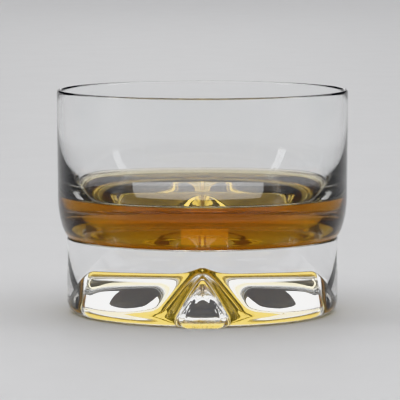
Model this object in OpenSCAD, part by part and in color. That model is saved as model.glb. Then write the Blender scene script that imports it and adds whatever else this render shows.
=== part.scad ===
// Whiskey tumbler: a thin bowl fused to a solid pressed foot, holding a measure of whiskey.
// The origin is on the table under the axis, +Z is up, and +X and +Y run along the relief's arms.

/* [Glass] */
// Outer diameter at the rim
rim_d = 96; // [94:1:104]
// Height from the table to the rim
glass_h = 73.4; // [66:0.2:80]
// Wall thickness at the rim
rim_wall = 1.6; // [1.2:0.1:2]
// How much thicker the wall is where the whiskey meets it
wall_growth = 3.6; // [3:0.1:5.5]
// How fast the wall thickens on its way down
wall_power = 4; // [2:0.1:5]
// How much wider the rim is than the bowl above its round corner, on the radius
rim_flare = 0.2; // [0:0.05:1]

/* [Bowl corner] */
// Height where the bowl's round lower corner begins
corner_z = 38; // [32:0.5:44]
// How far the round corner comes in, on the radius
corner_in = 3.75; // [2:0.05:5]
// Squareness of the round corner: 1 is a straight slope, 2 is an ellipse
corner_power = 1.75; // [1.4:0.05:2.5]
// Height of the cup's floor above the table
floor_z = 25.5; // [25.4:0.1:28]
// Radius of the flat middle of the cup's floor
floor_r = 25; // [18:0.5:28]

/* [Foot] */
// Diameter of the foot
foot_d = 89.5; // [84:0.1:92]
// Height of the foot, up to the waist line
foot_h = 24.9; // [20:0.1:25]
// Rounding of the foot's bottom edge
foot_round = 3.5; // [1:0.1:4]
// Rounding of the foot's top edge at the waist
waist_round = 0.5; // [0.2:0.1:1]

/* [Relief] */
// Height of the roof-shaped grooves under the foot
groove_h = 14; // [8:0.2:16]
// Half the width of a groove at the table
groove_half_w = 7.6; // [5:0.2:10]
// Half the length of a groove at the table
groove_half_l = 34; // [28:0.5:37]
// How far each end of a groove leans in by its top
groove_lean = 6.5; // [3:0.5:10]
// Rounding of a groove's ridge
ridge_round = 1.5; // [0.8:0.1:3]
// Height of the low pyramid where the grooves cross
hub_h = 13.6; // [6:0.2:15]
// How far the pyramid reaches along each groove
hub_reach = 22; // [12:0.5:26]
// How far the triangular pads stand out from the foot
pad_out = 0.7; // [0.3:0.1:1]
// Half the width of a pad at the table
pad_half_w = 9; // [6:0.2:12]
// Height of a pad's top corner
pad_h = 15; // [10:0.5:17]
// Rounding of a pad's corners
pad_round = 2; // [1:0.1:3]

/* [Whiskey] */
// Height of the whiskey's surface above the table
whiskey_z = 38.2; // [38.2:0.1:48]

/* [Hidden] */
$fn = 96;

STEPS = 12;                     // steps along each curved stretch of an outline
LIP_STEPS = 6;
CUT = 1;                        // how far a cutter runs past what it cuts
rim_r = rim_d / 2;
foot_r = foot_d / 2;
corner_h = corner_z - foot_h;
bend_z = 38.2;                  // where the cup's wall bends into its floor
bend_r = outer_r(bend_z) - rim_wall - wall_growth;
bend_lean = [0.378, 0.926];      // direction of the cup's wall at that height
bend_reach = 7.5;

// Outer radius of the bowl at height z
function outer_r(z) =
    z >= corner_z
        ? rim_r - rim_flare * (glass_h - z) / (glass_h - corner_z)
        : rim_r - rim_flare - corner_drop((corner_z - z) / corner_h);

// How far the round corner has come in after a share t of its height
function corner_drop(t) = corner_in * (1 - pow(1 - pow(min(t, 1), corner_power), 1 / corner_power));

// Wall thickness at height z above the bend
function wall(z) = rim_wall + wall_growth * pow((glass_h - z) / (glass_h - bend_z), wall_power);

// A point on a cubic curve
function bezier(a, b, c, d, t) =
    pow(1 - t, 3) * a + 3 * t * pow(1 - t, 2) * b + 3 * t * t * (1 - t) * c + pow(t, 3) * d;

// A point of the cup's round bottom, t = 0 at the bend and 1 at the flat floor
function bottom_point(t) =
    bezier(
        [bend_r, bend_z],
        [bend_r, bend_z] - bend_reach * bend_lean,
        [floor_r + 9, floor_z],
        [floor_r, floor_z],
        t
    );

// The cup's outline from height top down to the middle of its floor
function cup_outline(top) = concat(
    [for (i = [0 : STEPS - 1]) if (top > bend_z)
        let (z = top + (bend_z - top) * i / STEPS) [outer_r(z) - wall(z), z]],
    [for (i = [0 : STEPS]) bottom_point(i / STEPS)],
    [[0, floor_z]]
);

module bowl() {
    lip_r = rim_wall / 2;
    lip_z = glass_h - lip_r;
    corner = [for (i = [0 : STEPS]) let (z = foot_h + corner_h * (1 - cos(90 * i / STEPS))) [outer_r(z), z]];
    lip = [for (i = [0 : LIP_STEPS]) let (a = 180 * i / LIP_STEPS)
        [rim_r - lip_r + lip_r * cos(a), lip_z + lip_r * sin(a)]];
    color("aliceblue", 0.35)
        rotate_extrude()
            polygon(concat([[0, foot_h]], corner, lip, cup_outline(lip_z - 0.4)));
}

// Outline of a disc of radius r with its bottom and top edges rounded
module disc_outline(r, h, bottom_round, top_round) {
    difference() {
        square([r, h]);
        translate([r - bottom_round, 0]) round_cut(bottom_round);
        translate([r - top_round, h]) mirror([0, 1]) round_cut(top_round);
    }
}

// What a rounded edge takes off a corner
module round_cut(radius) {
    difference() {
        translate([0, -CUT]) square([radius + CUT, radius + CUT]);
        translate([0, radius]) circle(radius);
    }
}

// One groove along X: a roof whose ends lean in
module groove() {
    ridge_l = groove_half_l - groove_lean;
    hull() {
        for (x = [-ridge_l, ridge_l])
            translate([x, 0, groove_h - ridge_round]) sphere(ridge_round, $fn = 24);
        translate([0, 0, -CUT / 2])
            cube([2 * groove_half_l, 2 * groove_half_w, CUT], center = true);
    }
}

// The low pyramid that softens the crossing of the two grooves
module hub() {
    hull() {
        translate([0, 0, hub_h - ridge_round]) sphere(ridge_round, $fn = 24);
        translate([0, 0, -CUT / 2])
            rotate(45) cube([hub_reach * sqrt(2), hub_reach * sqrt(2), CUT], center = true);
    }
}

// A rounded triangle that stands on the table line
module pad_outline() {
    side = pad_half_w - pad_round;
    hull() {
        for (x = [-side, side]) translate([x, pad_round]) circle(pad_round, $fn = 24);
        translate([0, pad_h - pad_round]) circle(pad_round, $fn = 24);
    }
}

// The triangular pad that the -Y arm ends in; the +Y arm ends in one too
module pad() {
    intersection() {
        rotate_extrude() disc_outline(foot_r + pad_out, foot_h, 1, waist_round);
        translate([0, -foot_r + 4, 0])
            rotate([90, 0, 0]) linear_extrude(8) pad_outline();
    }
}

module foot() {
    color("azure", 0.45)
        difference() {
            union() {
                rotate_extrude() disc_outline(foot_r, foot_h, foot_round, waist_round);
                for (a = [0, 180]) rotate(a) pad();
            }
            for (a = [0, 90]) rotate(a) groove();
            hub();
        }
}

module whiskey() {
    color("goldenrod", 0.8)
        rotate_extrude()
            polygon(concat([[0, whiskey_z]], cup_outline(whiskey_z)));
}

bowl();
foot();
whiskey();
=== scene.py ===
"""Whiskey tumbler: the glass, the pour, the floor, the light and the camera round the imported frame."""
import math

import bpy
import numpy as np
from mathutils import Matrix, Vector


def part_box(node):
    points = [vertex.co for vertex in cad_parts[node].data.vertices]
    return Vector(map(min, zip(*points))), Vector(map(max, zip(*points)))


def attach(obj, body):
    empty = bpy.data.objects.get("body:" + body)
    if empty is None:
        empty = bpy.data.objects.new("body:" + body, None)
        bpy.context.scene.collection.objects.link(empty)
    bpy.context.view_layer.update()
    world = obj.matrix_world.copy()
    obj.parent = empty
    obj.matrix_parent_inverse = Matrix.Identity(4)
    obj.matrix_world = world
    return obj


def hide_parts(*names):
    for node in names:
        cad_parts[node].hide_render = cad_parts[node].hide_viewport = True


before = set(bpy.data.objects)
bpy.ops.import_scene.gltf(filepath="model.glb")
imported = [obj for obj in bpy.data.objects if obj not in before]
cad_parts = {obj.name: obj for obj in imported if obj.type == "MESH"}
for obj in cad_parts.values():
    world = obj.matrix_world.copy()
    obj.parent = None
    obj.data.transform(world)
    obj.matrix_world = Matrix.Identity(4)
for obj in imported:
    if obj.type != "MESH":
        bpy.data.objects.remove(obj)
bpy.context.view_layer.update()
MM = 0.001

# --- Sizes: heights and radii come from the CAD nodes, the others are named here -----------------
bowl_lo, bowl_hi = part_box("bowl")
foot_lo, foot_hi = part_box("foot")
pour_lo, pour_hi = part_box("whiskey")
RIM_R = min(bowl_hi[0], bowl_hi[1], -bowl_lo[0], -bowl_lo[1])
GLASS_H = bowl_hi[2]
FOOT_R = min(foot_hi[0], -foot_lo[0])
FOOT_H = foot_hi[2]
FLOOR_Z = pour_lo[2]
POUR_Z = pour_hi[2]

# The bowl
RIM_WALL = 1.6 * MM
WALL_GROWTH = 3.6 * MM  # how much thicker the wall is at the bend into the floor
WALL_POWER = 4.0  # the higher it is, the lower down the wall thickens
RIM_FLARE = 0.2 * MM  # how much further out the rim is than the wall above the corner
CORNER_Z = 38.0 * MM  # where the bowl's round lower corner begins
CORNER_IN = 3.75 * MM  # how far it comes in by the waist
CORNER_POWER = 1.75  # 2 would make the corner a quarter of an ellipse
BEND_Z = 38.2 * MM  # where the cup's wall bends into its floor
BEND_LEAN = (0.378, 0.926)  # direction in which the bend starts, inwards and down
BEND_REACH = 7.5 * MM  # length of the curve's handle at the wall
FLAT_R = 25.0 * MM  # flat middle of the cup's floor
FLAT_REACH = 9.0 * MM  # length of its handle at the floor
LIP_GAP = 0.4 * MM  # from the lip's last ring down to the first one of the wall

# The foot and the cross of roof-shaped grooves under it
FOOT_ROUND = 3.5 * MM
WAIST_ROUND = 0.5 * MM
GROOVE_H = 14.0 * MM
GROOVE_W = 7.6 * MM  # half the width at the table
GROOVE_L = 34.0 * MM  # half the length at the table
GROOVE_LEAN = 6.5 * MM  # how far each end leans in
RIDGE_ROUND = 1.5 * MM  # rounding of the ridge along a groove's roof
HIP_ROUND = 6.0 * MM  # of the hips between its sides and its ends
VALLEY_ROUND = 6.5 * MM  # of the lines where the two grooves meet
EDGE_ROUND = 3.5 * MM  # of the edge that they make with the flat underside
EDGE_FADE = 1.5 * MM  # the relief fades out over this width before the foot's rounded edge
HUB_H = 13.5 * MM  # the low pyramid where the grooves cross
HUB_REACH = 22.0 * MM
HUB_ROUND = 5.0 * MM

# The pads at the front and the back of the foot
PAD_W = 8.6 * MM  # half the width at the table
PAD_H = 15.5 * MM  # height of its tip
PAD_OUT = 0.9 * MM  # how far it stands out at the table; it slopes in to nothing at its tip
PAD_FILL = 0.85  # how much of the foot's rounded edge it fills
PAD_ROUND = 2.4 * MM  # rounding of its bottom corners
PAD_EDGE = 3.0 * MM  # width of the soft edge round a pad

# The pour
MENISCUS_H = 0.9 * MM  # how far the whiskey climbs the glass
MENISCUS_W = 1.7 * MM  # how far from the glass it starts to
BITE = 0.1 * MM  # how far the pour reaches into the glass, so that no air is left between them

# The studio, in metres
STAGE_FLAT_R = 3.6
STAGE_BEND_R = 0.6  # the floor's edge curves up with this radius
CAMERA_PLACE = (-0.0008, -1.0412, 0.1376)
CAMERA_TILT = 5.535  # degrees below level
LENS = 284.7  # millimetres, on a sensor 36 mm wide

# How fine the meshes are: points round a ring, and rings along a stretch of the outline
AROUND = 432
POUR_AROUND = 240
STAGE_AROUND = 96
UNDERSIDE_RINGS = 74
FOOT_RINGS = 34
CORNER_RINGS = 30
WALL_RINGS = 12
CUP_WALL_RINGS = 18
BEND_RINGS = 25
FLOOR_RINGS = 9
SURFACE_RINGS = 12
MENISCUS_RINGS = 9
STAGE_BEND_RINGS = 13

# Radius of the innermost ring, where the mesh closes on a single point
UNDERSIDE_POLE_R = 0.5 * MM
FLOOR_POLE_R = 1.0 * MM
SURFACE_POLE_R = 2.0 * MM

BLACK = (0, 0, 0, 1)
WHITE = (1, 1, 1, 1)


# --- Outlines ------------------------------------------------------------------------------------
def outer_r(z):
    """Outer radius of the bowl at height z."""
    if z >= CORNER_Z:
        return RIM_R - RIM_FLARE * (GLASS_H - z) / (GLASS_H - CORNER_Z)
    t = min((CORNER_Z - z) / (CORNER_Z - FOOT_H), 1.0)
    return RIM_R - RIM_FLARE - CORNER_IN * (1 - (1 - t**CORNER_POWER) ** (1 / CORNER_POWER))


def inner_r(z):
    """Inner radius of the cup above the bend."""
    share = max((GLASS_H - z) / (GLASS_H - BEND_Z), 0.0)
    return outer_r(z) - RIM_WALL - WALL_GROWTH * share**WALL_POWER


def bezier(points, t):
    """A point on a cubic curve."""
    a, b, c, d = (np.array(p) for p in points)
    return (1 - t) ** 3 * a + 3 * t * (1 - t) ** 2 * b + 3 * t * t * (1 - t) * c + t**3 * d


def arc(centre, radius, start, end, steps):
    """Points on an arc of the outline, in degrees, without its first point."""
    turn = np.radians(np.linspace(start, end, steps + 1)[1:])
    return [(centre[0] + radius * math.cos(a), centre[1] + radius * math.sin(a)) for a in turn]


def foot_outline():
    """From the flat ring that the glass stands on, up to the waist."""
    points = arc((FOOT_R - FOOT_ROUND, FOOT_ROUND), FOOT_ROUND, -90, 0, steps=12)
    top = FOOT_H - WAIST_ROUND
    points += [(FOOT_R, z) for z in np.linspace(FOOT_ROUND, top, FOOT_RINGS)[1:]]
    return points + arc((FOOT_R - WAIST_ROUND, top), WAIST_ROUND, 0, 90, steps=5)


def bowl_outline():
    """From the waist up the outside of the bowl and over its rim."""
    quarter = (math.pi / 2 * i / CORNER_RINGS for i in range(1, CORNER_RINGS + 1))
    heights = [FOOT_H + (CORNER_Z - FOOT_H) * (1 - math.cos(a)) for a in quarter]
    lip = RIM_WALL / 2
    heights += list(np.linspace(CORNER_Z, GLASS_H - lip, WALL_RINGS)[1:])
    points = [(outer_r(z), z) for z in heights]
    return points + arc((RIM_R - lip, GLASS_H - lip), lip, 0, 180, steps=10)


def cup_outline(top):
    """From height top down the inside of the cup to the flat middle of its floor."""
    bend = (inner_r(BEND_Z), BEND_Z)
    lean = (bend[0] - BEND_REACH * BEND_LEAN[0], bend[1] - BEND_REACH * BEND_LEAN[1])
    curve = (bend, lean, (FLAT_R + FLAT_REACH, FLOOR_Z), (FLAT_R, FLOOR_Z))
    points = [bend]
    if top > BEND_Z:
        points = [(inner_r(z), z) for z in np.linspace(top, BEND_Z, CUP_WALL_RINGS)]
    points += [tuple(bezier(curve, t)) for t in np.linspace(0, 1, BEND_RINGS)[1:]]
    return points + [(r, FLOOR_Z) for r in np.linspace(FLAT_R, FLOOR_POLE_R, FLOOR_RINGS)[1:]]


def pour_outline():
    """From the middle of the whiskey's surface out, up its edge and down the wall of the cup."""
    edge_z = POUR_Z + MENISCUS_H
    edge_r = inner_r(edge_z)
    points = [(r, POUR_Z) for r in np.linspace(SURFACE_POLE_R, edge_r - MENISCUS_W, SURFACE_RINGS)]
    for t in np.linspace(0, 1, MENISCUS_RINGS)[1:]:
        points.append((edge_r - MENISCUS_W * (1 - t), POUR_Z + MENISCUS_H * t**3))
    points.append((edge_r + BITE, edge_z))
    return points + [(r + BITE, z - BITE) for r, z in cup_outline(edge_z)[1:]]


# --- The relief of the foot ----------------------------------------------------------------------
def smooth_min(a, b, width):
    """The lower of two surfaces, with a rounded crease of that width."""
    share = np.clip(0.5 + 0.5 * (b - a) / width, 0, 1)
    return b * (1 - share) + a * share - width * share * (1 - share)


def smooth_max(a, b, width):
    """The higher of two surfaces, with a rounded crease of that width."""
    return -smooth_min(-a, -b, width)


def groove_height(along, across):
    """Height of the roof of one groove, which is negative where there is no groove."""
    along = np.abs(along)
    across = np.sqrt(across**2 + RIDGE_ROUND**2) - RIDGE_ROUND
    side = GROOVE_H * (1 - across / GROOVE_W)
    end = GROOVE_H * (GROOVE_L - along) / GROOVE_LEAN
    return smooth_min(side, end, HIP_ROUND)


def relief_height(x, y):
    """Height of the underside above the table."""
    cross = smooth_max(groove_height(x, y), groove_height(y, x), VALLEY_ROUND)
    hub = HUB_H * (1 - (np.abs(x) + np.abs(y)) / HUB_REACH)
    cross = smooth_max(cross, hub, HUB_ROUND)
    return smooth_max(cross, np.zeros_like(cross), EDGE_ROUND)


def pad_push(turn, z):
    """How far the front and back pads stand out at an azimuth and height, as a share."""
    sideways = np.abs(np.mod(turn, math.pi) - math.pi / 2) * FOOT_R
    below = max(PAD_ROUND - z, 0.0)
    corner = PAD_ROUND - math.sqrt(PAD_ROUND**2 - below**2)
    edge = (PAD_W * (1 - z / PAD_H) - corner - sideways) / PAD_EDGE + 0.5
    edge = np.clip(edge, 0, 1)
    return edge * edge * (3 - 2 * edge) * max(1 - z / PAD_H, 0)


# --- Meshes --------------------------------------------------------------------------------------
def around(count):
    """The azimuths of a ring's points."""
    return np.linspace(0, 2 * math.pi, count, endpoint=False)


def ring_at(turn, radius, z):
    """Points of one ring, where radius and z are numbers or arrays."""
    one = np.ones_like(turn)
    return np.stack([radius * np.cos(turn), radius * np.sin(turn), z * one], axis=1)


def new_piece(name, points, faces, material):
    """A smooth mesh object in the scene."""
    mesh = bpy.data.meshes.new(name)
    mesh.from_pydata(points, [], faces)
    mesh.shade_smooth()
    mesh.update()
    mesh.materials.append(material)
    piece = bpy.data.objects.new(name, mesh)
    bpy.context.collection.objects.link(piece)
    return piece


def lathe(name, rings, first, last, material):
    """A closed mesh through rings of points, from a first pole to a last one."""
    count = len(rings[0])
    points = [first] + [tuple(p) for ring in rings for p in ring] + [last]
    end = len(points) - 1
    last_ring = 1 + (len(rings) - 1) * count
    faces = []
    for i in range(count):
        j = (i + 1) % count
        faces.append((0, 1 + j, 1 + i))
        for a in range(1, last_ring, count):
            faces.append((a + i, a + j, a + count + j, a + count + i))
        faces.append((last_ring + i, last_ring + j, end))
    return new_piece(name, points, faces, material)


def make_glass():
    """The whole glass in one closed mesh, as it is once the bowl and the foot are fused."""
    turn = around(AROUND)
    flat_r = FOOT_R - FOOT_ROUND
    rings = []
    for radius in np.linspace(UNDERSIDE_POLE_R, flat_r, UNDERSIDE_RINGS):
        fade = min((flat_r - radius) / EDGE_FADE, 1.0)
        height = relief_height(radius * np.cos(turn), radius * np.sin(turn))
        rings.append(ring_at(turn, radius, height * fade))
    for radius, z in foot_outline():
        push = pad_push(turn, z)
        rounded = FOOT_R - radius if z < FOOT_ROUND else 0.0
        rings.append(ring_at(turn, radius + push * (PAD_OUT + PAD_FILL * rounded), z))
    for radius, z in bowl_outline() + cup_outline(GLASS_H - RIM_WALL / 2 - LIP_GAP):
        rings.append(ring_at(turn, radius, z))
    middle = float(relief_height(np.zeros(1), np.zeros(1))[0])
    return lathe("tumbler_glass", rings, (0, 0, middle), (0, 0, FLOOR_Z), glass_material())


def make_pour():
    """The whiskey, which climbs the glass a little at its edge. Its rings run the other way round
    from the glass's, because its outline starts at the top."""
    turn = around(POUR_AROUND)
    rings = [ring_at(turn, r, z)[::-1] for r, z in pour_outline()]
    return lathe("whiskey_pour", rings, (0, 0, POUR_Z), (0, 0, FLOOR_Z - BITE), pour_material())


# --- Materials -----------------------------------------------------------------------------------
def new_material(name):
    """A material, its node tree and its shader."""
    material = bpy.data.materials.new(name)
    material.use_nodes = True
    tree = material.node_tree
    return material, tree, tree.nodes["Principled BSDF"]


def place_on_piece(tree):
    """Coordinates fixed to the piece, in metres."""
    return tree.nodes.new("ShaderNodeTexCoord").outputs["Object"]


def noise(tree, coords, scale, detail=3.0):
    """Noise from 0 to 1, with about that many waves to the metre."""
    node = tree.nodes.new("ShaderNodeTexNoise")
    node.inputs["Scale"].default_value = scale
    node.inputs["Detail"].default_value = detail
    tree.links.new(coords, node.inputs["Vector"])
    return node.outputs["Fac"]


def ramp(tree, value, low, high):
    """A colour that goes from one (position, colour) stop to another."""
    node = tree.nodes.new("ShaderNodeValToRGB")
    for element, (position, colour) in zip(node.color_ramp.elements, (low, high)):
        element.position = position
        element.color = colour
    tree.links.new(value, node.inputs["Fac"])
    return node.outputs["Color"]


def multiply(tree, a, b):
    """The product of two colours."""
    node = tree.nodes.new("ShaderNodeMix")
    node.data_type = "RGBA"
    node.blend_type = "MULTIPLY"
    node.inputs["Factor"].default_value = 1.0
    tree.links.new(a, node.inputs["A"])
    tree.links.new(b, node.inputs["B"])
    return node.outputs["Result"]


def bump(tree, height, distance, strength):
    """A normal that follows a height."""
    node = tree.nodes.new("ShaderNodeBump")
    node.inputs["Distance"].default_value = distance
    node.inputs["Strength"].default_value = strength
    tree.links.new(height, node.inputs["Height"])
    return node.outputs["Normal"]


def glass_material():
    """Clear crystal: faint waves from the mould and the flame, and a worn ring where it stands."""
    material, tree, shader = new_material("crystal")
    shader.inputs["Transmission Weight"].default_value = 1.0
    shader.inputs["IOR"].default_value = 1.52
    coords = place_on_piece(tree)
    tint = ramp(tree, noise(tree, coords, 35.0), (0.3, (0.985, 0.993, 0.995, 1)), (0.7, WHITE))
    tree.links.new(tint, shader.inputs["Base Color"])
    parts = tree.nodes.new("ShaderNodeSeparateXYZ")
    tree.links.new(coords, parts.inputs["Vector"])
    worn = ramp(tree, parts.outputs["Z"], (0.2 * MM, WHITE), (0.6 * MM, BLACK))
    specks = noise(tree, coords, 900.0, detail=6.0)
    scuffs = ramp(tree, specks, (0.45, BLACK), (0.62, (0.35, 0.35, 0.35, 1)))
    tree.links.new(multiply(tree, worn, scuffs), shader.inputs["Roughness"])
    waves = noise(tree, coords, 60.0, detail=1.0)
    tree.links.new(bump(tree, waves, distance=0.2 * MM, strength=0.03), shader.inputs["Normal"])
    return material


def pour_material():
    """Amber whiskey, coloured by its depth, with faint swirls."""
    material, tree, shader = new_material("whiskey")
    shader.inputs["Transmission Weight"].default_value = 1.0
    shader.inputs["IOR"].default_value = 1.36
    shader.inputs["Roughness"].default_value = 0.0
    coords = place_on_piece(tree)
    pale, paler = (1, 0.955, 0.87, 1), (1, 0.985, 0.95, 1)
    swirl = ramp(tree, noise(tree, coords, 45.0), (0.3, pale), (0.7, paler))
    tree.links.new(swirl, shader.inputs["Base Color"])
    waves = noise(tree, coords, 40.0, detail=1.0)
    tree.links.new(bump(tree, waves, distance=0.1 * MM, strength=0.03), shader.inputs["Normal"])
    depth = tree.nodes.new("ShaderNodeVolumeAbsorption")
    depth.inputs["Color"].default_value = (0.895, 0.757, 0.02, 1)
    depth.inputs["Density"].default_value = 120.0
    tree.links.new(depth.outputs["Volume"], tree.nodes["Material Output"].inputs["Volume"])
    return material


def paper_material():
    """Pale studio paper with a little tooth."""
    material, tree, shader = new_material("studio_paper")
    grain = noise(tree, place_on_piece(tree), 30.0)
    colour = ramp(tree, grain, (0.3, (0.615, 0.615, 0.62, 1)), (0.7, (0.63, 0.63, 0.635, 1)))
    tree.links.new(colour, shader.inputs["Base Color"])
    shader.inputs["Roughness"].default_value = 0.55
    return material


# --- Stage ---------------------------------------------------------------------------------------
def make_floor():
    """A pale round sheet whose edge curves up, so that it closes every low view."""
    turn = around(STAGE_AROUND)
    rings = [ring_at(turn, r, 0.0) for r in (0.3, 1.2, 2.4, STAGE_FLAT_R)]
    for a in np.linspace(0, math.pi / 2, STAGE_BEND_RINGS)[1:]:
        radius = STAGE_FLAT_R + STAGE_BEND_R * math.sin(a)
        rings.append(ring_at(turn, radius, STAGE_BEND_R - STAGE_BEND_R * math.cos(a)))
    count = len(turn)
    faces = [tuple(range(count))]
    for row in range(len(rings) - 1):
        a = row * count
        for i in range(count):
            j = (i + 1) % count
            faces.append((a + i, a + count + i, a + count + j, a + j))
    points = [tuple(p) for ring in rings for p in ring]
    new_piece("studio_floor", points, faces, paper_material())


def softbox(name, place, target, size, power, spread=180):
    """A rectangular lamp that the camera doesn't see, in metres, watts and degrees of spread."""
    light = bpy.data.lights.new(name, "AREA")
    light.spread = math.radians(spread)
    light.shape = "RECTANGLE"
    light.size, light.size_y = size
    light.energy = power
    lamp = bpy.data.objects.new(name, light)
    lamp.location = place
    lamp.rotation_euler = (Vector(target) - Vector(place)).to_track_quat("-Z", "Y").to_euler()
    lamp.visible_camera = False
    bpy.context.collection.objects.link(lamp)


def make_light():
    """A wide soft ceiling, and softboxes round the glass in a darker room, which draws its edges."""
    middle = (0, 0, GLASS_H / 2)
    softbox("ceiling", (0.0, 0.8, 3.0), (0, 0.8, 0), size=(8.0, 8.0), power=262)
    softbox("window_back", (-0.02, 3.3, 0.64), middle, size=(0.48, 0.6), power=0.1, spread=60)
    softbox("left_strip", (-0.95, -0.25, 0.50), middle, size=(0.16, 0.7), power=1.2)
    softbox("right_strip", (0.95, -0.10, 0.50), middle, size=(0.16, 0.7), power=1.0)
    world = bpy.data.worlds.new("studio")
    world.use_nodes = True
    world.node_tree.nodes["Background"].inputs["Color"].default_value = (0.10, 0.10, 0.105, 1)
    bpy.context.scene.world = world


def make_camera():
    """Low and in front, looking a little down, as the tumbler is usually shown."""
    data = bpy.data.cameras.new("camera")
    data.sensor_width = 36.0
    data.lens = LENS
    camera = bpy.data.objects.new("camera", data)
    camera.location = CAMERA_PLACE
    camera.rotation_euler = (math.radians(90 - CAMERA_TILT), 0, 0)
    bpy.context.collection.objects.link(camera)
    bpy.context.scene.camera = camera


# --- Assembly ------------------------------------------------------------------------------------
glass = make_glass()
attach(glass, "root")
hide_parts("bowl", "foot")

pour = make_pour()
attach(pour, "root")
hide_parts("whiskey")

make_floor()
make_light()
make_camera()
scene = bpy.context.scene
scene.cycles.max_bounces = 24
scene.cycles.transmission_bounces = 24
scene.view_settings.view_transform = "Khronos PBR Neutral"
